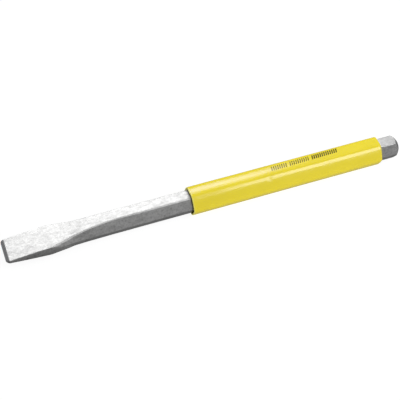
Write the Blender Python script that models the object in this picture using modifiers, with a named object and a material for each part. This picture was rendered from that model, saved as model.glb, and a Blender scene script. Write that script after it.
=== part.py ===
"""Flat cold chisel: one forged hexagonal steel bar in a pushed-on vinyl grip sleeve.

Units are metres. +X runs along the bar from the cutting edge to the struck head, and
+Z is up. The tool lies on the lower flat of its sleeve, and the origin is on the
ground below the middle of its length.
"""

import math

import bmesh
import bpy
from mathutils import Matrix

MM = 0.001
ROOT_3 = math.sqrt(3)

# Bar: 5/8 in hexagon stock, a little under its nominal 15.9 mm once forged and tumbled
LENGTH = 305 * MM
ACROSS_FLATS = 15.6 * MM
CORNER_RADIUS = 1.2 * MM

# Cutting edge, ground from both faces of the blade
EDGE_LAND = 0.3 * MM
GRIND_LENGTH = 2.5 * MM
GRIND_THICKNESS = 2.5 * MM
BLADE_WIDTH = 20.9 * MM
BLADE_EDGE_RADIUS = 0.35 * MM
PLAN_CORNER_RADIUS = 1.9 * MM

# Struck head: a crown turned on the end of the hexagon
FACE_RADIUS = 5.2 * MM
CROWN_LENGTH = 4.0 * MM
CROWN_BULGE = 0.5 * MM
CROWN_STEPS = 6

# Sleeve
SLEEVE_ACROSS_FLATS = 20.2 * MM
SLEEVE_CORNER_RADIUS = 4.6 * MM
SLEEVE_START = 137.0 * MM
SLEEVE_LENGTH = 152.4 * MM
SLEEVE_FRONT_LIP = 0.3 * MM
SLEEVE_BACK_LIP = 1.2 * MM
FIT_GAP = 0.3 * MM

AXIS_HEIGHT = SLEEVE_ACROSS_FLATS / 2
EDGE_X = -LENGTH / 2

# How the model is worked
CUTTER_MARGIN = 5 * MM
TURNING_STEPS = 48
ROUNDING_STEPS = 6
LIP_STEPS = 4
SHARP_ANGLE = math.radians(25)
MERGE_DISTANCE = 0.001 * MM
RIM_TOLERANCE = 0.01 * MM

# Forging scale takes this much off each face of the heated end. The loss fades out at
# the sleeve's mouth, so the bare shank's flats are faces of their own.
SCALE_LOSS = 0.02 * MM
SCALE_FADE = 1.0 * MM

# Forged shape behind the ground edge. Each station gives the distance back from the
# cutting edge, the thickness, the width over the sides, the share of the thickness
# that stands as an upright side face (1 on the flat blade, 0 on the hexagon), and the
# rounding of the edges that bound the top and bottom faces.
HEXAGON_WIDTH = 2 * ACROSS_FLATS / ROOT_3
BARE_ACROSS_FLATS = ACROSS_FLATS - 2 * SCALE_LOSS
BARE_WIDTH = 2 * BARE_ACROSS_FLATS / ROOT_3
STATIONS = (
    (GRIND_LENGTH, GRIND_THICKNESS, BLADE_WIDTH, 1.0, BLADE_EDGE_RADIUS),
    (16.0 * MM, 5.2 * MM, 21.0 * MM, 1.0, BLADE_EDGE_RADIUS),
    (30.5 * MM, 7.3 * MM, 21.4 * MM, 1.0, BLADE_EDGE_RADIUS),
    (36.0 * MM, 7.9 * MM, 22.0 * MM, 0.55, 1.8 * MM),
    (42.0 * MM, 9.4 * MM, 21.6 * MM, 0.0, 2.7 * MM),
    (50.0 * MM, 11.7 * MM, 19.8 * MM, 0.0, 2.5 * MM),
    (62.0 * MM, 13.9 * MM, 18.6 * MM, 0.0, 2.0 * MM),
    (80.0 * MM, BARE_ACROSS_FLATS, BARE_WIDTH, 0.0, CORNER_RADIUS),
)
SHOULDER_STEPS = 4


def clear_scene():
    for item in list(bpy.data.objects):
        bpy.data.objects.remove(item, do_unlink=True)


def make_material(name, color, roughness, metallic):
    material = bpy.data.materials.new(name)
    material.use_nodes = True
    shader = material.node_tree.nodes["Principled BSDF"]
    shader.inputs["Base Color"].default_value = (*color, 1.0)
    shader.inputs["Roughness"].default_value = roughness
    shader.inputs["Metallic"].default_value = metallic
    material.diffuse_color = (*color, 1.0)
    return material


def add_object(name, mesh, collection, material=None):
    item = bpy.data.objects.new(name, mesh)
    collection.objects.link(item)
    if material:
        mesh.materials.append(material)
    return item


def hide_tool(item):
    """Cutters and guides are drawn as wires and never rendered."""
    item.display_type = "WIRE"
    item.hide_render = True


def arc(center, radius, start, end, steps):
    """Points on an arc, angles in degrees."""
    points = []
    for step in range(steps + 1):
        angle = math.radians(start + (end - start) * step / steps)
        points.append((center[0] + radius * math.cos(angle), center[1] + radius * math.sin(angle)))
    return points


def corner_arc(corner, radius, low_normal, high_normal, steps):
    """Rounds the corner between two faces whose normals point at the given angles."""
    half_turn = math.radians(high_normal - low_normal) / 2
    middle = math.radians(high_normal + low_normal) / 2
    reach = radius / math.cos(half_turn)
    center = (corner[0] - reach * math.cos(middle), corner[1] - reach * math.sin(middle))
    return arc(center, radius, low_normal, high_normal, steps)


def bar_section(thickness, width, side_share, top_radius):
    """Cross-section of the bar as (y, z) points about its axis.

    It has flat top and bottom faces, four faces at 60 degrees and, on the blade, two
    upright sides. The hexagon is the same shape with no upright side, where the two
    roundings of a side corner meet.
    """
    half = thickness / 2
    side_radius = min(top_radius, CORNER_RADIUS)
    slant_taken = top_radius * math.tan(math.radians(30)) + side_radius * math.tan(math.radians(15))
    tallest = half - slant_taken * ROOT_3 / 2
    upright = max(side_share * half, side_radius * math.tan(math.radians(15)))
    upright = min(upright, tallest)
    side_y = width / 2 - max(0.0, upright - side_share * half) / ROOT_3
    top_y = side_y - (half - upright) / ROOT_3
    quarter = corner_arc((side_y, upright), side_radius, 0, 30, 2)
    quarter += corner_arc((top_y, half), top_radius, 30, 90, 4)
    left = [(-y, z) for y, z in reversed(quarter)]
    upper = quarter + left
    lower = [(-y, -z) for y, z in upper]
    return upper + lower


def smooth_between(stations, column, distance):
    """Reads a station value with a cubic that never overshoots its stations."""
    xs = [station[0] for station in stations]
    ys = [station[column] for station in stations]
    slopes = [(ys[i + 1] - ys[i]) / (xs[i + 1] - xs[i]) for i in range(len(xs) - 1)]
    tangents = [slopes[0]]
    for before, after in zip(slopes, slopes[1:]):
        same_way = before * after > 0
        tangents.append(2 * before * after / (before + after) if same_way else 0.0)
    tangents.append(0.0)
    for i in range(len(xs) - 1):
        if distance <= xs[i + 1]:
            break
    span = xs[i + 1] - xs[i]
    t = (distance - xs[i]) / span
    return (
        (2 * t ** 3 - 3 * t ** 2 + 1) * ys[i]
        + (t ** 3 - 2 * t ** 2 + t) * span * tangents[i]
        + (3 * t ** 2 - 2 * t ** 3) * ys[i + 1]
        + (t ** 3 - t ** 2) * span * tangents[i + 1]
    )


def ground_edge_sections():
    """Sections from the cutting edge back to the line where the grinding ends."""
    sections = []
    for step in range(SHOULDER_STEPS):
        distance = GRIND_LENGTH * step / SHOULDER_STEPS
        thickness = EDGE_LAND + (GRIND_THICKNESS - EDGE_LAND) * distance / GRIND_LENGTH
        inset = max(0.0, PLAN_CORNER_RADIUS - distance)
        pulled_in = PLAN_CORNER_RADIUS - math.sqrt(PLAN_CORNER_RADIUS ** 2 - inset ** 2)
        radius = min(BLADE_EDGE_RADIUS, thickness / 4)
        width = BLADE_WIDTH - 2 * pulled_in
        sections.append((distance, bar_section(thickness, width, 1.0, radius)))
    return sections


def forged_sections():
    """Sections from the blade through the shoulders to the full hexagon."""
    sections = []
    for this, following in zip(STATIONS, STATIONS[1:]):
        for step in range(SHOULDER_STEPS):
            distance = this[0] + (following[0] - this[0]) * step / SHOULDER_STEPS
            values = [smooth_between(STATIONS, column, distance) for column in (1, 2, 3, 4)]
            sections.append((distance, bar_section(*values)))
    return sections


def shank_sections():
    """Sections of the plain hexagon, from the shoulders to the struck face."""
    bare = bar_section(BARE_ACROSS_FLATS, BARE_WIDTH, 0.0, CORNER_RADIUS)
    sleeved = bar_section(ACROSS_FLATS, HEXAGON_WIDTH, 0.0, CORNER_RADIUS)
    bare_end = SLEEVE_START - SCALE_FADE
    return [(STATIONS[-1][0], bare), (bare_end, bare), (SLEEVE_START, sleeved), (LENGTH, sleeved)]


def loft(mesh_name, sections):
    """Joins sections with equal point counts into one closed mesh along +X."""
    work = bmesh.new()
    rings = []
    for distance, points in sections:
        x = EDGE_X + distance
        rings.append([work.verts.new((x, y, AXIS_HEIGHT + z)) for y, z in points])
    count = len(rings[0])
    for ring, following in zip(rings, rings[1:]):
        for i in range(count):
            j = (i + 1) % count
            work.faces.new((ring[i], ring[j], following[j], following[i]))
    work.faces.new(list(reversed(rings[0])))
    work.faces.new(rings[-1])
    bmesh.ops.remove_doubles(work, verts=work.verts, dist=MERGE_DISTANCE)
    bmesh.ops.recalc_face_normals(work, faces=work.faces)
    mesh = bpy.data.meshes.new(mesh_name)
    work.to_mesh(mesh)
    work.free()
    return mesh


def crown_profile():
    """Outline of the turned crown, from its face back, as (distance, radius) points."""
    start_radius = HEXAGON_WIDTH / 2
    crown_start = LENGTH - CROWN_LENGTH
    points = [(LENGTH, 0.0)]
    for step in range(CROWN_STEPS + 1):
        t = step / CROWN_STEPS
        radius = FACE_RADIUS + (start_radius - FACE_RADIUS) * t + 4 * CROWN_BULGE * t * (1 - t)
        points.append((LENGTH - CROWN_LENGTH * t, radius))
    clear_radius = ACROSS_FLATS
    points += [(crown_start, clear_radius), (-CUTTER_MARGIN, clear_radius), (-CUTTER_MARGIN, 0.0)]
    return points


def add_crown_keeper(collection):
    """A turned body along X that holds the whole bar except the head's corners."""
    points = crown_profile()
    mesh = bpy.data.meshes.new("crown_keeper")
    outline = [(i, i + 1) for i in range(len(points) - 1)]
    mesh.from_pydata([(EDGE_X + distance, 0, radius) for distance, radius in points], outline, [])
    keeper = add_object("crown_keeper", mesh, collection)
    keeper.location.z = AXIS_HEIGHT
    hide_tool(keeper)
    turn = keeper.modifiers.new("turn", "SCREW")
    turn.axis = "X"
    turn.steps = turn.render_steps = TURNING_STEPS
    turn.use_merge_vertices = True
    turn.merge_threshold = MERGE_DISTANCE
    return keeper


def add_bar(collection, cutters):
    steel = make_material("forged_steel", (0.56, 0.56, 0.55), 0.42, 1.0)
    mesh = loft("chisel_bar", ground_edge_sections() + forged_sections() + shank_sections())
    bar = add_object("chisel_bar", mesh, collection, steel)
    crown = bar.modifiers.new("crown", "BOOLEAN")
    crown.operation = "INTERSECT"
    crown.object = add_crown_keeper(cutters)
    mesh.shade_smooth()
    mesh.set_sharp_from_angle(angle=SHARP_ANGLE)
    return bar


def round_edges(work, edges, offset, steps):
    bmesh.ops.bevel(
        work, geom=edges, offset=offset, offset_type="OFFSET", segments=steps, profile=0.5,
        affect="EDGES",
    )


def hexagon_prism(mesh_name, across_flats, corner_radius, start, length, lips=()):
    """A hexagonal prism along +X, flat side down, with rounded long edges.

    Each lip is (end's x, radius): that end's rim is rounded too.
    """
    work = bmesh.new()
    radius = across_flats / ROOT_3
    bmesh.ops.create_cone(
        work, cap_ends=True, segments=6, radius1=radius, radius2=radius, depth=length
    )
    lay_down = Matrix.Rotation(math.radians(90), 4, "Y")
    to_place = Matrix.Translation((start + length / 2, 0, AXIS_HEIGHT))
    bmesh.ops.transform(work, matrix=to_place @ lay_down, verts=work.verts)
    long_edges = [edge for edge in work.edges if edge.calc_length() > length / 2]
    round_edges(work, long_edges, corner_radius * math.tan(math.radians(30)), ROUNDING_STEPS)
    for end_x, lip_radius in lips:
        at_end = {vert for vert in work.verts if abs(vert.co.x - end_x) < RIM_TOLERANCE}
        rim = [edge for edge in work.edges if at_end.issuperset(edge.verts)]
        round_edges(work, rim, lip_radius, LIP_STEPS)
    bmesh.ops.recalc_face_normals(work, faces=work.faces)
    mesh = bpy.data.meshes.new(mesh_name)
    work.to_mesh(mesh)
    work.free()
    return mesh


def add_bore(collection):
    mesh = hexagon_prism(
        "sleeve_bore", ACROSS_FLATS + 2 * FIT_GAP, CORNER_RADIUS + FIT_GAP,
        EDGE_X + SLEEVE_START - CUTTER_MARGIN, SLEEVE_LENGTH + 2 * CUTTER_MARGIN,
    )
    bore = add_object("sleeve_bore", mesh, collection)
    hide_tool(bore)
    return bore


def add_sleeve(collection, cutters):
    vinyl = make_material("yellow_vinyl", (0.83, 0.66, 0.03), 0.35, 0.0)
    start = EDGE_X + SLEEVE_START
    lips = ((start, SLEEVE_FRONT_LIP), (start + SLEEVE_LENGTH, SLEEVE_BACK_LIP))
    mesh = hexagon_prism(
        "grip_sleeve", SLEEVE_ACROSS_FLATS, SLEEVE_CORNER_RADIUS, start, SLEEVE_LENGTH, lips
    )
    sleeve = add_object("grip_sleeve", mesh, collection, vinyl)
    hollow = sleeve.modifiers.new("hollow", "BOOLEAN")
    hollow.operation = "DIFFERENCE"
    hollow.object = add_bore(cutters)
    mesh.shade_smooth()
    mesh.set_sharp_from_angle(angle=SHARP_ANGLE)
    return sleeve


def main():
    clear_scene()
    chisel = bpy.data.collections.new("cold_chisel")
    cutters = bpy.data.collections.new("cutters")
    for collection in (chisel, cutters):
        bpy.context.scene.collection.children.link(collection)
    add_bar(chisel, cutters)
    add_sleeve(chisel, cutters)


main()
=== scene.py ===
"""Looks of the flat cold chisel: the finished forging, its vinyl sleeve, a plain studio.

Units are metres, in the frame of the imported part: +X towards the struck head, +Z up,
the ground at z = 0. The two CAD solids are replaced by finer meshes of the same size.
"""

import math
import random

import bmesh
import bpy
import numpy as np
from mathutils import Matrix, Vector, kdtree, noise
from mathutils.bvhtree import BVHTree


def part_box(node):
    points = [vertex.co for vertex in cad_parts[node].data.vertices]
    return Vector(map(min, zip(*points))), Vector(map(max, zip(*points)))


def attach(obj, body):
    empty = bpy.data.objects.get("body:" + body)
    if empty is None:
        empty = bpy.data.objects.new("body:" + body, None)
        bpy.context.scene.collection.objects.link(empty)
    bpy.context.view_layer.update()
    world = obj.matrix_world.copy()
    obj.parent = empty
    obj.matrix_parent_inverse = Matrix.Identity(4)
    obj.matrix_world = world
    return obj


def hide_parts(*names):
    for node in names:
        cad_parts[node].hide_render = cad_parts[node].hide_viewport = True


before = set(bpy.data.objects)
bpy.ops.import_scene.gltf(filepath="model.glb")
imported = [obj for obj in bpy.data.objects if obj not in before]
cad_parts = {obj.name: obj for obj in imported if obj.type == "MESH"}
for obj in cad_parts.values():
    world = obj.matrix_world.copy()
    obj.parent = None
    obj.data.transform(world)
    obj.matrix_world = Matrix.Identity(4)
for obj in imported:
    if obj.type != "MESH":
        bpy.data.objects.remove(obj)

MM = 0.001
ROOT_3 = math.sqrt(3)
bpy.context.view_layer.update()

# Sizes read from the frame
BAR_LOW, BAR_HIGH = (Vector(corner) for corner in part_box("chisel_bar"))
SLEEVE_LOW, SLEEVE_HIGH = (Vector(corner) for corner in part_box("grip_sleeve"))
LENGTH = BAR_HIGH.x - BAR_LOW.x
ACROSS_FLATS = BAR_HIGH.z - BAR_LOW.z
AXIS_Z = (BAR_LOW.z + BAR_HIGH.z) / 2
SLEEVE_FLATS = SLEEVE_HIGH.z - SLEEVE_LOW.z
SLEEVE_START = SLEEVE_LOW.x - BAR_LOW.x
SLEEVE_END = SLEEVE_HIGH.x - BAR_LOW.x

# Hexagon of the shank. The far upper corner has a share of the others' rounding.
HEXAGON_WIDTH = 2 * ACROSS_FLATS / ROOT_3
SHANK_CORNER_RADIUS = 1.7 * MM
SIDE_CORNER_RADIUS = 1.0 * MM
FAR_SHARE = 0.5

# Struck head: drawn down a little, then spread and twisted by blows over a short ramp,
# with a crown turned on its end
HEAD_ACROSS_FLATS = 0.98 * ACROSS_FLATS
HEAD_CORNER_RADIUS = 0.8 * MM
HEAD_FAR_RADIUS = 1.0 * MM
HEAD_SPREAD = 0.6 * MM
HEAD_TURN = math.radians(1.5)
HEAD_RAMP = 3.0 * MM
FACE_RADIUS = 5.0 * MM
CROWN_LENGTH = 4.0 * MM
CROWN_BULGE = 0.62 * MM

# Cutting edge: ground from both faces, its near and far corners rounded off, and the
# blade a little to the near side of the axis
EDGE_LAND = 0.25 * MM
GRIND_LENGTH = 2.5 * MM
GRIND_THICKNESS = 2.5 * MM
BLADE_WIDTH = 20.9 * MM
BLADE_EDGE_RADIUS = 0.35 * MM
NEAR_CORNER_RADIUS = 2.6 * MM
FAR_CORNER_RADIUS = 1.7 * MM
EDGE_DRIFT = -0.2 * MM

# The forging behind the ground edge: distance back from the cutting edge, thickness,
# width over the sides, share of the thickness that stands as an upright side face,
# rounding of the edges of the top and bottom faces, and drift of the forging to one side.
STATIONS = (
    (GRIND_LENGTH, GRIND_THICKNESS, BLADE_WIDTH, 1.0, BLADE_EDGE_RADIUS, EDGE_DRIFT),
    (16.0 * MM, 5.2 * MM, 21.0 * MM, 1.0, BLADE_EDGE_RADIUS, EDGE_DRIFT),
    (30.5 * MM, 7.3 * MM, 21.3 * MM, 1.0, BLADE_EDGE_RADIUS, EDGE_DRIFT),
    (36.0 * MM, 7.9 * MM, 21.6 * MM, 0.62, 1.8 * MM, EDGE_DRIFT),
    (42.0 * MM, 8.9 * MM, 21.1 * MM, 0.32, 1.9 * MM, EDGE_DRIFT),
    (50.0 * MM, 10.75 * MM, 18.85 * MM, 0.19, 1.8 * MM, EDGE_DRIFT),
    (62.0 * MM, 13.5 * MM, 18.1 * MM, 0.08, 1.4 * MM, EDGE_DRIFT / 2),
    (80.0 * MM, ACROSS_FLATS, HEXAGON_WIDTH, 0.0, 1.3 * MM, 0.0),
    (104.0 * MM, ACROSS_FLATS, HEXAGON_WIDTH, 0.0, SHANK_CORNER_RADIUS, 0.0),
)

# How finely the bar is divided, along it and around its section. The head's close
# sections start a margin inside the sleeve.
BARE_STEP = 0.45 * MM
HIDDEN_STEP = 6.0 * MM
HEAD_MARGIN = 2 * MM
GRIND_STEPS = 14
GRIND_CROWDING = 1.5
CROWN_STEPS = 20
SIDE_STEPS, SLANT_STEPS, TOP_STEPS = 10, 18, 26
SIDE_ARC_STEPS, TOP_ARC_STEPS = 3, 7
LEAST_UPRIGHT = 0.01 * MM

# Sleeve: its rounded hexagon with slightly bowed flats, its lips, the mouth that flares
# off centre, the bore's nearly plane flats, the slanted back end, the waves and the dent
SLEEVE_CORNER_RADIUS = 4.6 * MM
SLEEVE_CROWN_RADIUS = 42 * MM
BACK_LIP = 1.0 * MM
FRONT_LIP = 0.4 * MM
MOUTH_GAP = 1.0 * MM
MOUTH_SHIFT = (-0.35 * MM, -0.30 * MM)
MOUTH_DEPTH = 9.0 * MM
MOUTH_FLARE = 1.5
BORE_BOW_RADIUS = 2.0
MOUTH_BOW_RADIUS = 0.3
END_SKEW = 0.062
SKEW_LENGTH = 12 * MM
SKEW_START_Y = 6 * MM
# Length of the pale highlight painted along the mouth's rim
RIM_HIGHLIGHT_LENGTH = 0.9 * MM
GRIP_GAP = 0.04 * MM
WAVE_HEIGHT = 0.10 * MM
WAVE_CYCLES = (45, 90, 90)
DENT_PLACE = Vector((BAR_LOW.x + 197.0 * MM, -6.3 * MM, AXIS_Z + 8.6 * MM))
DENT_LENGTH = 1.4 * MM
DENT_WIDTH = 2.3 * MM
DENT_DEPTH = 0.15 * MM

# How finely the sleeve is divided
FLAT_POINTS, ROUND_POINTS = 22, 12
FRONT_LIP_STEPS, BACK_LIP_STEPS = 5, 9
SKIN_STEP = 1.0 * MM
SKIN_MARGIN = 0.5 * MM
BORE_STEP = 10 * MM
BORE_MARGIN = 5 * MM
END_WALL = 0.2 * MM
MOUTH_STEPS = 6

# Points closer than this are one point
WELD_DISTANCE = 0.0005 * MM

# Edges that turn by more than this stay crisp
BAR_SHARP_ANGLE = math.radians(40)
SLEEVE_SHARP_ANGLE = math.radians(50)


def monotone(stations, column, distance):
    """Reads a station value with a cubic that never overshoots its stations."""
    xs = [station[0] for station in stations]
    ys = [station[column] for station in stations]
    slopes = [(ys[i + 1] - ys[i]) / (xs[i + 1] - xs[i]) for i in range(len(xs) - 1)]
    tangents = [slopes[0]]
    for before, after in zip(slopes, slopes[1:]):
        same_way = before * after > 0
        tangents.append(2 * before * after / (before + after) if same_way else 0.0)
    tangents.append(0.0)
    for i in range(len(xs) - 1):
        if distance <= xs[i + 1]:
            break
    span = xs[i + 1] - xs[i]
    t = (distance - xs[i]) / span
    return (
        (2 * t ** 3 - 3 * t ** 2 + 1) * ys[i]
        + (t ** 3 - 2 * t ** 2 + t) * span * tangents[i]
        + (3 * t ** 2 - 2 * t ** 3) * ys[i + 1]
        + (t ** 3 - t ** 2) * span * tangents[i + 1]
    )


def corner_arc(corner, radius, low_normal, high_normal, steps):
    """Rounds the corner between two faces whose normals point at the given degrees."""
    half_turn = math.radians(high_normal - low_normal) / 2
    middle = math.radians(high_normal + low_normal) / 2
    reach = radius / math.cos(half_turn)
    center_y = corner[0] - reach * math.cos(middle)
    center_z = corner[1] - reach * math.sin(middle)
    points = []
    for step in range(steps + 1):
        angle = math.radians(low_normal + (high_normal - low_normal) * step / steps)
        points.append((center_y + radius * math.cos(angle), center_z + radius * math.sin(angle)))
    return points


def between(start, end, steps):
    """Evenly spaced points strictly between two points."""
    return [
        (start[0] + (end[0] - start[0]) * i / steps, start[1] + (end[1] - start[1]) * i / steps)
        for i in range(1, steps)
    ]


def section_corner(thickness, width, side_share, top_radius):
    """One corner of the section: its side arc, and the arc between slant and top face.

    The side face is upright, the top face level, and the slant stands at 60 degrees.
    """
    half = thickness / 2
    side_radius = min(top_radius, SIDE_CORNER_RADIUS)
    slant_taken = top_radius * math.tan(math.radians(30)) + side_radius * math.tan(math.radians(15))
    tallest = half - slant_taken * ROOT_3 / 2
    upright = max(side_share * half, side_radius * math.tan(math.radians(15)) + LEAST_UPRIGHT)
    upright = min(upright, tallest)
    side_y = width / 2 - max(0.0, upright - side_share * half) / ROOT_3
    top_y = side_y - (half - upright) / ROOT_3
    side_arc = corner_arc((side_y, upright), side_radius, 0, 30, SIDE_ARC_STEPS)
    top_arc = corner_arc((top_y, half), top_radius, 30, 90, TOP_ARC_STEPS)
    return side_arc, top_arc


def bar_section(thickness, width, side_share, top_radius, far_radius=None):
    """Finely divided cross-section of the bar as (y, z) points about its axis.

    The far side's upper corner has a rounding of its own, half the others' if not given.
    """
    if far_radius is None:
        far_radius = FAR_SHARE * top_radius
    near = section_corner(thickness, width, side_share, top_radius)
    far = section_corner(thickness, width, side_share, far_radius)
    points = []
    turns = ((far, 1, 1), (near, -1, 1), (near, -1, -1), (near, 1, -1))
    for i, ((side_arc, top_arc), y_sign, z_sign) in enumerate(turns):
        corner = side_arc + between(side_arc[-1], top_arc[0], SLANT_STEPS) + top_arc
        corner = [(y * y_sign, z * z_sign) for y, z in corner]
        if i % 2:
            corner.reverse()
        if points:
            steps = TOP_STEPS if i % 2 else SIDE_STEPS
            points += between(points[-1], corner[0], steps)
        points += corner
    return between(points[-1], points[0], SIDE_STEPS) + points


def crown_limit(distance):
    """Radius that the turned crown leaves at a distance from the cutting edge."""
    t = (LENGTH - distance) / CROWN_LENGTH
    if t > 1:
        return HEXAGON_WIDTH
    return FACE_RADIUS + (HEXAGON_WIDTH / 2 - FACE_RADIUS) * t + 4 * CROWN_BULGE * t * (1 - t)


def bar_distances():
    """Where the bar's sections lie: close together where it is bare, wide under the sleeve."""
    grind = [GRIND_LENGTH * (i / GRIND_STEPS) ** GRIND_CROWDING for i in range(GRIND_STEPS)]
    bare_end = SLEEVE_START + MOUTH_DEPTH
    bare = list(np.arange(GRIND_LENGTH, bare_end, BARE_STEP))
    hidden = list(np.arange(bare_end, SLEEVE_END - HEAD_MARGIN, HIDDEN_STEP))
    head = list(np.arange(SLEEVE_END - HEAD_MARGIN, LENGTH - CROWN_LENGTH, BARE_STEP))
    crown = [LENGTH - CROWN_LENGTH * (1 - i / CROWN_STEPS) for i in range(CROWN_STEPS + 1)]
    return grind + bare + hidden + head + crown


def pulled_in(radius, distance):
    """How far a rounded corner of the cutting edge stands in from the blade's side."""
    inset = max(0.0, radius - distance)
    return radius - math.sqrt(radius ** 2 - inset ** 2)


def section_at(distance):
    """The bar's section at a distance from the cutting edge, before the crown is turned."""
    if distance < GRIND_LENGTH:
        share = distance / GRIND_LENGTH
        thickness = EDGE_LAND + (GRIND_THICKNESS - EDGE_LAND) * share
        near = pulled_in(NEAR_CORNER_RADIUS, distance)
        far = pulled_in(FAR_CORNER_RADIUS, distance)
        edge_radius = min(BLADE_EDGE_RADIUS, thickness / 4)
        points = bar_section(thickness, BLADE_WIDTH - near - far, 1.0, edge_radius)
        return [(y + (near - far) / 2 + EDGE_DRIFT, z) for y, z in points]
    if distance < STATIONS[-1][0]:
        *shape, drift = (monotone(STATIONS, column, distance) for column in (1, 2, 3, 4, 5))
        return [(y + drift, z) for y, z in bar_section(*shape)]
    if distance < SLEEVE_END - HIDDEN_STEP:
        return bar_section(ACROSS_FLATS, HEXAGON_WIDTH, 0.0, SHANK_CORNER_RADIUS)
    share = min(1.0, max(0.0, (distance - SLEEVE_END) / HEAD_RAMP))
    width = 2 * HEAD_ACROSS_FLATS / ROOT_3 + HEAD_SPREAD * share
    points = bar_section(HEAD_ACROSS_FLATS, width, 0.0, HEAD_CORNER_RADIUS, HEAD_FAR_RADIUS)
    sine, cosine = math.sin(HEAD_TURN * share), math.cos(HEAD_TURN * share)
    return [(y * cosine - z * sine, z * cosine + y * sine) for y, z in points]


def crowned(points, limit):
    """Pulls in the points of a section that stand outside the crown."""
    held = []
    for y, z in points:
        radius = math.hypot(y, z)
        shrink = min(1.0, limit / radius)
        held.append((y * shrink, z * shrink))
    return held


def tube_mesh(name, rings, capped):
    """One mesh through rings of equal count: capped at its ends, or closed on itself.

    The rings run counter-clockwise seen from +X. Where a section has no slant, the points
    of its slant coincide, and they are welded.
    """
    count = len(rings[0])
    verts = [point for ring in rings for point in ring]
    faces = []
    for r in range(len(rings) - 1):
        for i in range(count):
            j = (i + 1) % count
            faces.append((r * count + i, r * count + j, (r + 1) * count + j, (r + 1) * count + i))
    last = (len(rings) - 1) * count
    if capped:
        faces.append(tuple(reversed(range(count))))
        faces.append(tuple(range(last, last + count)))
    else:
        for i in range(count):
            j = (i + 1) % count
            faces.append((last + i, last + j, j, i))
    mesh = bpy.data.meshes.new(name)
    mesh.from_pydata(verts, [], faces)
    work = bmesh.new()
    work.from_mesh(mesh)
    bmesh.ops.remove_doubles(work, verts=work.verts, dist=WELD_DISTANCE)
    work.to_mesh(mesh)
    work.free()
    return mesh


def add_piece(name, mesh, material, slot, *replaced):
    """Adds a visible piece, fixed to the tool, in place of the CAD nodes named last."""
    piece = bpy.data.objects.new(name, mesh)
    bpy.context.scene.collection.objects.link(piece)
    mesh.materials.append(material)
    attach(piece, "root")
    if replaced:
        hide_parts(*replaced)
    return piece


def point_attribute(mesh, name, values):
    """Stores one number for each vertex, for the material to read."""
    attribute = mesh.attributes.new(name, "FLOAT", "POINT")
    attribute.data.foreach_set("value", values)


# ---------------------------------------------------------------- materials


class Nodes:
    """Small helper for building a node material."""

    def __init__(self, name):
        self.material = bpy.data.materials.new(name)
        self.material.use_nodes = True
        self.tree = self.material.node_tree
        self.shader = self.tree.nodes["Principled BSDF"]
        self.coords = self.add("ShaderNodeTexCoord").outputs["Object"]

    def add(self, kind, **settings):
        """A new node of a kind, with its settings."""
        node = self.tree.nodes.new(kind)
        for key, value in settings.items():
            setattr(node, key, value)
        return node

    def link(self, source, target):
        """Feeds a socket from another socket, or sets it to a number or a colour."""
        if isinstance(source, (int, float, tuple)):
            target.default_value = source
        else:
            self.tree.links.new(source, target)

    def placed(self, per_mm, offset):
        """Object coordinates scaled to cycles per millimetre along X, Y and Z."""
        mapping = self.add("ShaderNodeMapping")
        mapping.inputs["Scale"].default_value = [1000 * value for value in per_mm]
        mapping.inputs["Location"].default_value = offset
        self.link(self.coords, mapping.inputs["Vector"])
        return mapping.outputs["Vector"]

    def noise(self, per_mm, detail=2.0, rough=0.5, offset=(0, 0, 0)):
        """Noise between 0 and 1, of so many cycles per millimetre along X, Y and Z."""
        node = self.add("ShaderNodeTexNoise")
        self.link(self.placed(per_mm, offset), node.inputs["Vector"])
        node.inputs["Scale"].default_value = 1.0
        node.inputs["Detail"].default_value = detail
        node.inputs["Roughness"].default_value = rough
        return node.outputs["Fac"]

    def remap(self, value, low, high, to_low, to_high):
        """Stretches the range from low to high onto another one, and stops at its ends."""
        node = self.add("ShaderNodeMapRange", clamp=True)
        self.link(value, node.inputs["Value"])
        node.inputs["From Min"].default_value = low
        node.inputs["From Max"].default_value = high
        node.inputs["To Min"].default_value = to_low
        node.inputs["To Max"].default_value = to_high
        return node.outputs["Result"]

    def math(self, operation, first, second):
        """One step of arithmetic on sockets or numbers."""
        node = self.add("ShaderNodeMath", operation=operation)
        self.link(first, node.inputs[0])
        self.link(second, node.inputs[1])
        return node.outputs["Value"]

    def mix(self, share, first, second):
        """Blends two colours. The node's colour sockets are its inputs 6 and 7."""
        node = self.add("ShaderNodeMix", data_type="RGBA")
        self.link(share, node.inputs["Factor"])
        self.link(first, node.inputs[6])
        self.link(second, node.inputs[7])
        return node.outputs[2]

    def attribute(self, name):
        """The number that the mesh holds for each vertex under a name."""
        return self.add("ShaderNodeAttribute", attribute_name=name).outputs["Fac"]

    def bump(self, height, distance, strength, onto=None):
        """Relief of up to a distance in metres, on top of another bump if one is given."""
        node = self.add("ShaderNodeBump")
        node.inputs["Distance"].default_value = distance
        node.inputs["Strength"].default_value = strength
        self.link(height, node.inputs["Height"])
        if onto is not None:
            self.link(onto, node.inputs["Normal"])
        return node.outputs["Normal"]


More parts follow.
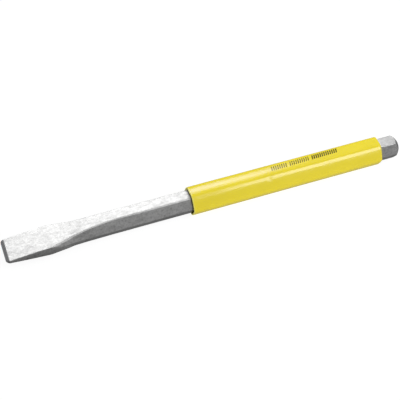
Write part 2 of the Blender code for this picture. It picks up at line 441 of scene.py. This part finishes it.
def steel_material():
    """Forged and tumbled steel, with a darker grind on the edge, painted shade on the crown's grind,
    painted shadow at the sleeve's mouth, and painted shade with real speckled scale on the sides.
    """
    dull, bright = (0.46, 0.46, 0.457, 1), (0.54, 0.54, 0.537, 1)
    smudged, specked, grained = (0.31, 0.31, 0.31, 1), (0.30, 0.30, 0.30, 1), (0.34, 0.34, 0.34, 1)
    # The grind's darker colour, which on the crown is painted shade
    pitted, grind_and_shade_dark = (0.20, 0.20, 0.20, 1), (0.23, 0.23, 0.235, 1)
    # Near-black for the painted shadow at the sleeve's mouth, the painted shade on the sides, and
    # their real speckled scale
    shade_and_scale_dark = (0.035, 0.033, 0.028, 1)
    nodes = Nodes("tumbled_steel")
    shader = nodes.shader
    shader.inputs["Metallic"].default_value = 1.0
    grind_and_shade = nodes.attribute("grind_and_shade")
    pit = nodes.attribute("pit")
    painted_shade_and_scale = nodes.attribute("painted_shade_and_scale")
    cloud = nodes.noise((0.16, 0.22, 0.22), detail=4, rough=0.6)
    smudge = nodes.noise((0.10, 0.30, 0.30), detail=5, rough=0.65, offset=(2, 6, 1))
    speck = nodes.noise((0.9, 1.1, 1.1), detail=3, rough=0.65, offset=(3, 1, 5))
    grain = nodes.noise((0.13, 1.5, 1.5), detail=4, rough=0.65, offset=(9, 2, 7))
    color = nodes.mix(nodes.remap(cloud, 0.32, 0.62, 0.0, 1.0), dull, bright)
    color = nodes.mix(nodes.remap(smudge, 0.36, 0.52, 0.50, 0.0), color, smudged)
    color = nodes.mix(nodes.remap(speck, 0.32, 0.50, 0.45, 0.0), color, specked)
    color = nodes.mix(nodes.remap(grain, 0.32, 0.62, 0.40, 0.0), color, grained)
    color = nodes.mix(nodes.math("MULTIPLY", pit, 0.6), color, pitted)
    # Darker grind on the cutting edge, and painted shade on the crown's grind towards its top and
    # the struck face
    color = nodes.mix(grind_and_shade, color, grind_and_shade_dark)
    # Painted shadow at the sleeve's mouth, painted shade low on the blade's sides and on the
    # shoulder's slant, and real speckled scale
    color = nodes.mix(painted_shade_and_scale, color, shade_and_scale_dark)
    nodes.link(color, shader.inputs["Base Color"])
    patchy = nodes.noise((0.5, 0.6, 0.6), detail=3, offset=(4, 4, 1))
    nodes.link(nodes.remap(patchy, 0.3, 0.7, 0.34, 0.46), shader.inputs["Roughness"])
    fine = nodes.noise((1.6, 2.2, 2.2), detail=3, rough=0.6, offset=(1, 8, 3))
    tumbled = nodes.bump(fine, 0.02 * MM, 0.45)
    scratched = nodes.bump(grain, 0.02 * MM, 0.45, onto=tumbled)
    nodes.link(scratched, shader.inputs["Normal"])
    return nodes.material


def vinyl_material():
    """Dipped PVC: saturated yellow under a soft, slightly uneven gloss, with a pale highlight
    painted along the mouth's rim.
    """
    deep, light = (0.78, 0.635, 0.006, 1), (0.82, 0.67, 0.008, 1)
    # Pale highlight painted along the mouth's rim
    painted_rim_highlight = (0.84, 0.78, 0.16, 1)
    nodes = Nodes("yellow_vinyl")
    shader = nodes.shader
    shader.inputs["Specular IOR Level"].default_value = 0.95
    cloud = nodes.noise((0.03, 0.06, 0.06), detail=2, rough=0.5)
    color = nodes.mix(nodes.remap(cloud, 0.35, 0.65, 0.0, 1.0), deep, light)
    color = nodes.mix(nodes.attribute("rim_highlight"), color, painted_rim_highlight)
    nodes.link(color, shader.inputs["Base Color"])
    patchy = nodes.noise((0.08, 0.15, 0.15), detail=2, offset=(2, 5, 1))
    nodes.link(nodes.remap(patchy, 0.3, 0.7, 0.14, 0.20), shader.inputs["Roughness"])
    skin = nodes.noise((0.7, 0.9, 0.9), detail=2, rough=0.5, offset=(7, 3, 2))
    nodes.link(nodes.bump(skin, 0.012 * MM, 0.5), shader.inputs["Normal"])
    return nodes.material


def ink_material():
    """Dark olive printing ink, thinner in places."""
    thick, thin = (0.045, 0.04, 0.008, 1), (0.12, 0.10, 0.012, 1)
    nodes = Nodes("olive_ink")
    shader = nodes.shader
    shader.inputs["Specular IOR Level"].default_value = 0.1
    worn = nodes.noise((1.2, 1.5, 1.5), detail=3, rough=0.6)
    color = nodes.mix(nodes.remap(worn, 0.4, 0.7, 0.0, 1.0), thick, thin)
    nodes.link(color, shader.inputs["Base Color"])
    nodes.link(nodes.remap(worn, 0.3, 0.7, 0.35, 0.5), shader.inputs["Roughness"])
    return nodes.material


# ---------------------------------------------------------------- pieces

# Waves of the forging, as height and cycles per millimetre, and its pits
RELIEF = ((0.008 * MM, 0.35), (0.012 * MM, 0.12), (0.02 * MM, 0.035))
RELIEF_MARGIN = 0.5 * MM
PIT_SEED = 5
PIT_COUNT = 170
PIT_RADIUS = (0.25 * MM, 0.75 * MM)
PIT_SHRINK = (0.6, 1.0)
PIT_DEPTH = (0.02 * MM, 0.07 * MM)

# Painted shade on the crown's grind, from its lower half to its top
CROWN_PAINTED_SHADE = (0.3, 0.9)
CROWN_TOLERANCE = 0.02 * MM
EDGE_TOLERANCE = 0.01 * MM

# Painted shadow in the sleeve's mouth: how far it reaches out of it, and how dark it is
SHADOW_REACH = 1.5 * MM
TOP_SHADOW_REACH = 2.6 * MM
TOP_TOLERANCE = 0.1 * MM
SHADOW_PATCH = 2.5 * MM
SHADOW_RAGGEDNESS = 0.8
SHADOW_DARKNESS = 0.9

# Painted shade on the sides, darker low on the blade and on the shoulder's slant, and real speckled
# scale, as the share of dark colour over the steel
FLANK_SHADE = 0.42
FLANK_FADE = (30 * MM, 46 * MM)
FLANK_GATHER = 1.3
SLANT_SHADE = 0.15
SLANT_MIDDLE = 58 * MM
SLANT_SPREAD = 10 * MM
SPECKLE_SCALE = 0.45
SPECKLE_SIZE = 1.1 * MM
FACE_MARGIN = 0.4 * MM


def forged_relief(mesh, places):
    """Low waves and shallow pits of a tumbled forging, pushed in along the normals.

    The pits lie on the bare steel, at places drawn from the given points. The relief
    fades out at the bar's ends. Returns how deep in a pit each vertex lies, from 0 to 1.
    """
    count = len(mesh.vertices)
    positions = np.empty(count * 3)
    normals = np.empty(count * 3)
    mesh.vertices.foreach_get("co", positions)
    mesh.vertex_normals.foreach_get("vector", normals)
    positions = positions.reshape(-1, 3)
    normals = normals.reshape(-1, 3)
    depth = np.zeros(count)
    for height, per_mm in RELIEF:
        for i, point in enumerate(positions):
            depth[i] += height * (0.5 + 0.5 * noise.noise(Vector(point) * per_mm / MM))
    tree = kdtree.KDTree(count)
    for i, point in enumerate(positions):
        tree.insert(point, i)
    tree.balance()
    dice = random.Random(PIT_SEED)
    on_blade_or_shank = (places[:, 0] > BAR_LOW.x + 2 * GRIND_LENGTH) & (places[:, 0] < SLEEVE_LOW.x)
    on_head = (places[:, 0] > SLEEVE_HIGH.x) & (places[:, 0] < BAR_HIGH.x - CROWN_LENGTH)
    bare = np.nonzero(on_blade_or_shank | on_head)[0]
    pit = np.zeros(count)
    for _ in range(PIT_COUNT):
        center = places[dice.choice(bare)]
        radius = dice.uniform(*PIT_RADIUS) * dice.uniform(*PIT_SHRINK)
        deepest = dice.uniform(*PIT_DEPTH)
        for _, i, away in tree.find_range(center, radius):
            bowl = (1 - (away / radius) ** 2) ** 2
            pit[i] = max(pit[i], bowl)
            depth[i] += deepest * bowl
    ends = np.minimum(positions[:, 0] - BAR_LOW.x, BAR_HIGH.x - positions[:, 0])
    depth *= np.clip(ends / RELIEF_MARGIN, 0, 1)
    mesh.vertices.foreach_set("co", (positions - normals * depth[:, None]).ravel())
    return pit


def mouth_painted_shadow(positions):
    """Painted shadow on the bar in the sleeve's mouth, fading out just in front of it."""
    painted_shade_and_scale = []
    for point in positions:
        ahead = SLEEVE_LOW.x - point[0]
        reach = TOP_SHADOW_REACH if point[2] > BAR_HIGH.z - TOP_TOLERANCE else SHADOW_REACH
        ragged = reach * (1 + SHADOW_RAGGEDNESS * noise.noise(Vector(point) / SHADOW_PATCH))
        in_mouth = ahead > -MOUTH_DEPTH
        painted_shade_and_scale.append(SHADOW_DARKNESS * max(0.0, min(1.0, 1 - ahead / ragged)) if in_mouth else 0.0)
    return painted_shade_and_scale


def sides_shade_and_scale(positions):
    """Painted shade on the sides, on the blade's darker low down and on the shoulder's slant,
    and real scale in fine speckles on all of them."""
    shade_and_speckle = []
    for x, y, z in positions:
        distance = min(max(x - BAR_LOW.x, GRIND_LENGTH), STATIONS[-1][0])
        thickness, width = (monotone(STATIONS, column, distance) for column in (1, 2))
        fade = (FLANK_FADE[1] - distance) / (FLANK_FADE[1] - FLANK_FADE[0])
        lower = min(1.0, max(0.0, 0.5 + (AXIS_Z - z) / thickness))
        share = 0.0
        if abs(y - EDGE_DRIFT) > width / 2 - FACE_MARGIN and fade > 0:
            share = FLANK_SHADE * min(1.0, fade) * lower ** FLANK_GATHER
        if abs(z - AXIS_Z) < thickness / 2 - FACE_MARGIN:
            from_middle = (distance - SLANT_MIDDLE) / SLANT_SPREAD
            share = max(share, SLANT_SHADE * math.exp(-from_middle ** 2))
            share += SPECKLE_SCALE * max(0.0, noise.noise(Vector((x, y, z)) / SPECKLE_SIZE))
        shade_and_speckle.append(share)
    return shade_and_speckle


def grind_and_painted_shade(positions):
    """How dark the grind is painted: whole on the cutting edge, and on the crown painted shade that
    grows towards the struck face and the top.
    """
    distance = positions[:, 0] - BAR_LOW.x
    radius = np.hypot(positions[:, 1], positions[:, 2] - AXIS_Z)
    limit = np.array([crown_limit(value) for value in distance])
    on_crown = (distance > LENGTH - CROWN_LENGTH) & (radius > limit - CROWN_TOLERANCE)
    on_edge = distance < GRIND_LENGTH - EDGE_TOLERANCE
    low, high = CROWN_PAINTED_SHADE
    upper = np.clip((positions[:, 2] - AXIS_Z) / (ACROSS_FLATS / 2), 0, 1)
    toward_face = np.clip(1 - (LENGTH - distance) / CROWN_LENGTH, 0, 1)
    return on_edge + on_crown * toward_face * (low + (high - low) * upper)


def make_bar():
    """The whole forging. Its shades are placed on the smooth form, before the relief."""
    rings = []
    for distance in bar_distances():
        points = crowned(section_at(distance), crown_limit(distance))
        rings.append([(BAR_LOW.x + distance, y, AXIS_Z + z) for y, z in points])
    mesh = tube_mesh("forged_bar", rings, capped=True)
    mesh.shade_smooth()
    mesh.set_sharp_from_angle(angle=BAR_SHARP_ANGLE)
    smooth_form = np.array([vertex.co for vertex in mesh.vertices])
    places = np.array([point for ring in rings for point in ring], dtype=np.float32)
    point_attribute(mesh, "pit", forged_relief(mesh, places))
    # Darker grind on the edge, and painted shade on the crown's grind
    point_attribute(mesh, "grind_and_shade", grind_and_painted_shade(smooth_form))
    # Painted shadow at the mouth, painted shade on the sides, and real speckled scale there
    painted_shade_and_scale = np.maximum(mouth_painted_shadow(smooth_form), sides_shade_and_scale(smooth_form))
    point_attribute(mesh, "painted_shade_and_scale", painted_shade_and_scale)
    return add_piece("forged_bar", mesh, steel_material(), "forged_steel", "chisel_bar")


def hexagon_outline(across_flats, crown_radius, corner_radius):
    """Rounded hexagon of slightly crowned flats, as (y, z) points about the axis.

    Each flat is an arc of the crown radius and each corner one of the corner radius,
    and they meet tangentially. The points are worked out clockwise and given the other
    way round.
    """
    flat_center = across_flats / 2 - crown_radius
    reach = crown_radius - corner_radius
    half_b = -flat_center * math.cos(math.radians(30))
    corner_center = -half_b + math.sqrt(half_b ** 2 + reach ** 2 - flat_center ** 2)
    corner_y = corner_center * math.sin(math.radians(30))
    corner_z = corner_center * math.cos(math.radians(30))
    split = math.degrees(math.atan2(corner_y, corner_z - flat_center))
    points = []
    for side in range(6):
        local = []
        for i in range(FLAT_POINTS):
            angle = math.radians(-split + 2 * split * i / FLAT_POINTS)
            sine, cosine = math.sin(angle), math.cos(angle)
            local.append((crown_radius * sine, flat_center + crown_radius * cosine))
        for i in range(ROUND_POINTS):
            angle = math.radians(split + (60 - 2 * split) * i / ROUND_POINTS)
            sine, cosine = math.sin(angle), math.cos(angle)
            local.append((corner_y + corner_radius * sine, corner_z + corner_radius * cosine))
        turn = math.radians(60 * side)
        sine, cosine = math.sin(turn), math.cos(turn)
        points += [(y * cosine + z * sine, z * cosine - y * sine) for y, z in local]
    return points[::-1]


def lip(x_end, inward, radius, steps, opening):
    """Quarter-round at a sleeve's end: (x, inset) pairs from the outside to the end face."""
    pairs = []
    for i in range(steps + 1):
        angle = math.radians(90 * i / steps)
        along = radius * (1 - math.sin(angle))
        inset = radius * (1 - math.cos(angle))
        pairs.append((x_end + inward * along, inset))
    return pairs if opening else list(reversed(pairs))


def sleeve_rings():
    """Rings of the sleeve: the skin from mouth to back end, then the bore on the way back."""
    start, end = SLEEVE_LOW.x, SLEEVE_HIGH.x
    outer = lip(start, 1, FRONT_LIP, FRONT_LIP_STEPS, opening=False)
    skin_end = end - BACK_LIP - SKIN_MARGIN
    outer += [(x, 0.0) for x in np.arange(start + SKIN_STEP, skin_end, SKIN_STEP)]
    outer += lip(end, -1, BACK_LIP, BACK_LIP_STEPS, opening=True)
    rings = []
    for x, inset in outer:
        outline = hexagon_outline(
            SLEEVE_FLATS - 2 * inset, SLEEVE_CROWN_RADIUS - inset, SLEEVE_CORNER_RADIUS - inset
        )
        rings.append([(x, y, AXIS_Z + z) for y, z in outline])
    bore, wide = (
        hexagon_outline(ACROSS_FLATS + 2 * gap, bow_radius, SHANK_CORNER_RADIUS + gap)
        for gap, bow_radius in ((GRIP_GAP, BORE_BOW_RADIUS), (MOUTH_GAP, MOUTH_BOW_RADIUS))
    )
    inner = [(end, 0.0), (end - END_WALL, 0.0)]
    inner += [(x, 0.0) for x in np.arange(end - BORE_MARGIN, start + MOUTH_DEPTH, -BORE_STEP)]
    for i in range(MOUTH_STEPS + 1):
        share = i / MOUTH_STEPS
        inner.append((start + MOUTH_DEPTH * (1 - share), share ** MOUTH_FLARE))
    for x, open_share in inner:
        ring = []
        for (y0, z0), (y1, z1) in zip(bore, wide):
            y = y0 + (y1 + MOUTH_SHIFT[0] - y0) * open_share
            z = z0 + (z1 + MOUTH_SHIFT[1] - z0) * open_share
            ring.append((x, y, AXIS_Z + z))
        rings.append(ring)
    return rings


def wavy(mesh):
    """Slow waves of the dipped skin, and one small dent on the near upper corner.

    They are pressed in towards the axis. The bore behind the mouth is left as it is.
    """
    for vertex in mesh.vertices:
        point = vertex.co
        spoke = Vector((0, point.y, point.z - AXIS_Z))
        if spoke.length < ACROSS_FLATS / 2 + MOUTH_GAP:
            continue
        wave = noise.noise(point * Vector(WAVE_CYCLES))
        away = point - DENT_PLACE
        dent = math.exp(-(away.x / DENT_LENGTH) ** 2 - (away.yz.length / DENT_WIDTH) ** 2)
        point -= spoke.normalized() * (WAVE_HEIGHT * (0.5 + 0.5 * wave) + DENT_DEPTH * dent)


def skewed(mesh):
    """The back end is cut a little out of square: its near side is shorter."""
    for vertex in mesh.vertices:
        near = (SLEEVE_HIGH.x - vertex.co.x) / SKEW_LENGTH
        share = max(0.0, 1 - near) ** 2 * (1 + 2 * min(1.0, near))
        vertex.co.x -= END_SKEW * max(0.0, SKEW_START_Y - vertex.co.y) * share


def make_sleeve():
    """The vinyl sleeve: a closed tube with a pale highlight painted along its mouth's rim."""
    mesh = tube_mesh("vinyl_sleeve", sleeve_rings(), capped=False)
    wavy(mesh)
    skewed(mesh)
    # Share of the painted highlight at each point, fading away from the mouth
    rim_highlight = [max(0.0, 1 - abs(vertex.co.x - SLEEVE_LOW.x) / RIM_HIGHLIGHT_LENGTH) for vertex in mesh.vertices]
    point_attribute(mesh, "rim_highlight", np.array(rim_highlight))
    mesh.shade_smooth()
    mesh.set_sharp_from_angle(angle=SLEEVE_SHARP_ANGLE)
    return add_piece("vinyl_sleeve", mesh, vinyl_material(), "yellow_vinyl", "grip_sleeve")


# Bars in each group of marks and their width, the row's ends and its lie on the sleeve
MARK_GROUPS = ((8, 0.62 * MM), (10, 0.66 * MM), (13, 0.95 * MM))
MARK_ROW = (201.5 * MM, 255.5 * MM)
MARK_HEIGHT = 4.1 * MM
MARK_SLANT = 0.28
MARK_STEPS = 8
ROW_CENTER_Y = 0.8 * MM
ROW_SKEW = math.radians(1.2)
INK_HEIGHT = 0.012 * MM
INK_ROOT = 0.1 * MM
ABOVE_THE_TOOL = 1.0


def mark_places():
    """Start of each bar along the row, and its width, with one bar's room between groups."""
    slots, slot = [], 0
    for count, width in MARK_GROUPS:
        slots += [(slot + i, width) for i in range(count)]
        slot += count + 1
    pitch = (MARK_ROW[1] - MARK_ROW[0]) / (slot - 1)
    return [(slot * pitch, width) for slot, width in slots]


def make_marks(sleeve):
    """Three printed groups of plain slanted bars on the sleeve's upper flat.

    Each bar is a thin closed strip that follows the skin and is rooted just under it.
    """
    tree = BVHTree.FromObject(sleeve, bpy.context.evaluated_depsgraph_get())
    verts, faces = [], []
    row_start = BAR_LOW.x + MARK_ROW[0]
    for start, width in mark_places():
        first = len(verts)
        for i in range(MARK_STEPS + 1):
            up = MARK_HEIGHT * (i / MARK_STEPS - 0.5)
            for side in (0, 1):
                x = row_start + start + side * width + up * MARK_SLANT
                y = ROW_CENTER_Y + up + (x - row_start) * math.tan(ROW_SKEW)
                hit = tree.ray_cast(Vector((x, y, ABOVE_THE_TOOL)), Vector((0, 0, -1)))[0]
                verts.append((x, y, hit.z + INK_HEIGHT))
                verts.append((x, y, hit.z - INK_ROOT))
        for i in range(MARK_STEPS):
            a = first + 4 * i
            faces.append((a, a + 2, a + 6, a + 4))
            faces.append((a + 1, a + 5, a + 7, a + 3))
            faces.append((a, a + 4, a + 5, a + 1))
            faces.append((a + 2, a + 3, a + 7, a + 6))
        last = first + 4 * MARK_STEPS
        faces.append((first, first + 1, first + 3, first + 2))
        faces.append((last, last + 2, last + 3, last + 1))
    mesh = bpy.data.meshes.new("printed_marks")
    mesh.from_pydata(verts, [], faces)
    return add_piece("printed_marks", mesh, ink_material(), "yellow_vinyl")


# ---------------------------------------------------------------- studio

# Camera: its direction from the tool, its distance, and its shift to the right and up
CAMERA_AZIMUTH = math.radians(-20.31)
CAMERA_ELEVATION = math.radians(47.5)
CAMERA_DISTANCE = 0.6905
CAMERA_RIGHT = -0.00683
CAMERA_UP = -0.00295
CAMERA_LENS_MM = 85.2
CAMERA_SENSOR_MM = 36
CAMERA_CLIP_START = 0.01

# The room's light level, its change from side to side, and where it is lightest
WORLD_MEAN = 0.345
WORLD_SWING = 0.19
BRIGHT_SIDE = (0.45, -0.68, 0.70)

# Floor: half of its side, and its paper
FLOOR_HALF = 6.0
FLOOR_COLOR = (0.22, 0.22, 0.22, 1)
FLOOR_ROUGHNESS = 0.9
FLOOR_GLOW = 0.89

# Each softbox: its name, lean in degrees, distance, left and right ends along the bar,
# height, radiance and what it lights. The steel has softboxes of its own.
SOFTBOXES = (
    ("back_softbox", -41.5, 1.53, -0.50, 0.58, 0.27, 5.3, ("sleeve", "marks")),
    ("steel_back_softbox", -43.5, 1.53, -0.50, 0.90, 0.80, 1.72, ("bar",)),
    ("key_softbox", 42.9, 1.2, 0.345, 1.05, 1.18, 3.45, ("floor", "sleeve", "marks")),
    ("steel_softbox", 20, 1.2, -0.55, 1.05, 1.5, 0.63, ("bar",)),
    ("rear_softbox", -62, 1.3, -0.90, 0.85, 1.2, 1.25, ("bar",)),
    ("corner_softbox", 10, 1.2, 0.50, 1.00, 0.5, 4.0, ("bar",)),
    ("top_glow", -45, 1.3, -0.6, 0.8, 1.0, 2.4, ("sleeve", "marks")),
)
COOL_LIGHT = (0.47, 0.51, 0.90)


def make_camera():
    """A camera that looks down from the near side and the blade end, its horizon level."""
    back = Vector((
        math.sin(CAMERA_AZIMUTH) * math.cos(CAMERA_ELEVATION),
        -math.cos(CAMERA_AZIMUTH) * math.cos(CAMERA_ELEVATION),
        math.sin(CAMERA_ELEVATION),
    ))
    right = Vector((math.cos(CAMERA_AZIMUTH), math.sin(CAMERA_AZIMUTH), 0))
    up = back.cross(right)
    data = bpy.data.cameras.new("camera")
    data.lens = CAMERA_LENS_MM
    data.sensor_width = CAMERA_SENSOR_MM
    data.clip_start = CAMERA_CLIP_START
    camera = bpy.data.objects.new("camera", data)
    bpy.context.scene.collection.objects.link(camera)
    place = Vector((0, 0, AXIS_Z)) + back * CAMERA_DISTANCE + right * CAMERA_RIGHT + up * CAMERA_UP
    turn = Matrix((right, up, back)).transposed()
    camera.matrix_world = Matrix.Translation(place) @ turn.to_4x4()
    bpy.context.scene.camera = camera


def add_softbox(name, lean, distance, left, right, height, radiance):
    """A rectangular area light parallel to the bar, facing it.

    Seen along the bar, it stands at the lean (degrees from overhead, positive towards
    the near side) and the distance. Its power gives it the radiance.
    """
    data = bpy.data.lights.new(name, "AREA")
    data.shape = "RECTANGLE"
    data.size = right - left
    data.size_y = height
    data.energy = radiance * math.pi * data.size * height
    light = bpy.data.objects.new(name, data)
    angle = math.radians(lean)
    aside, above = -distance * math.sin(angle), distance * math.cos(angle)
    light.location = ((left + right) / 2, aside, AXIS_Z + above)
    light.rotation_euler = (angle, 0, 0)
    bpy.context.scene.collection.objects.link(light)
    return light


def make_floor():
    """A sheet of white paper that glows a little and stays out of the reflections."""
    half = FLOOR_HALF
    corners = [(-half, -half, 0), (half, -half, 0), (half, half, 0), (-half, half, 0)]
    mesh = bpy.data.meshes.new("floor")
    mesh.from_pydata(corners, [], [(0, 1, 2, 3)])
    floor = bpy.data.objects.new("floor", mesh)
    bpy.context.scene.collection.objects.link(floor)
    paper = bpy.data.materials.new("white_paper")
    paper.use_nodes = True
    shader = paper.node_tree.nodes["Principled BSDF"]
    shader.inputs["Base Color"].default_value = FLOOR_COLOR
    shader.inputs["Roughness"].default_value = FLOOR_ROUGHNESS
    shader.inputs["Specular IOR Level"].default_value = 0.0
    shader.inputs["Emission Color"].default_value = (1, 1, 1, 1)
    shader.inputs["Emission Strength"].default_value = FLOOR_GLOW
    mesh.materials.append(paper)
    floor.visible_glossy = False
    return floor


def make_world():
    """A grey room, lighter on the near right than on the far left."""
    world = bpy.data.worlds.new("studio")
    bpy.context.scene.world = world
    world.use_nodes = True
    tree = world.node_tree
    direction = tree.nodes.new("ShaderNodeTexCoord")
    toward = tree.nodes.new("ShaderNodeVectorMath")
    toward.operation = "DOT_PRODUCT"
    toward.inputs[1].default_value = Vector(BRIGHT_SIDE).normalized()
    tree.links.new(direction.outputs["Generated"], toward.inputs[0])
    level = tree.nodes.new("ShaderNodeMapRange")
    level.inputs["From Min"].default_value = -1
    level.inputs["To Min"].default_value = WORLD_MEAN - WORLD_SWING
    level.inputs["To Max"].default_value = WORLD_MEAN + WORLD_SWING
    tree.links.new(toward.outputs["Value"], level.inputs["Value"])
    tree.links.new(level.outputs["Result"], tree.nodes["Background"].inputs["Color"])


def light_only(light, *items):
    """Keeps a light off everything but the given objects."""
    receivers = bpy.data.collections.new(light.name + "_receivers")
    for item in items:
        receivers.objects.link(item)
    light.light_linking.receiver_collection = receivers


def make_studio(bar, sleeve, marks):
    """Floor, room and softboxes.

    The sleeve's back light is cool, which keeps its highlight a pale cream, and the glow
    from above is left out of its reflections.
    """
    receivers = {"floor": make_floor(), "bar": bar, "sleeve": sleeve, "marks": marks}
    make_world()
    lights = {}
    for name, *placing, lit in SOFTBOXES:
        lights[name] = add_softbox(name, *placing)
        light_only(lights[name], *(receivers[item] for item in lit))
    lights["back_softbox"].data.color = COOL_LIGHT
    lights["top_glow"].visible_glossy = False
    bpy.context.scene.view_settings.view_transform = "Standard"


make_camera()
bar = make_bar()
sleeve = make_sleeve()
marks = make_marks(sleeve)
make_studio(bar, sleeve, marks)
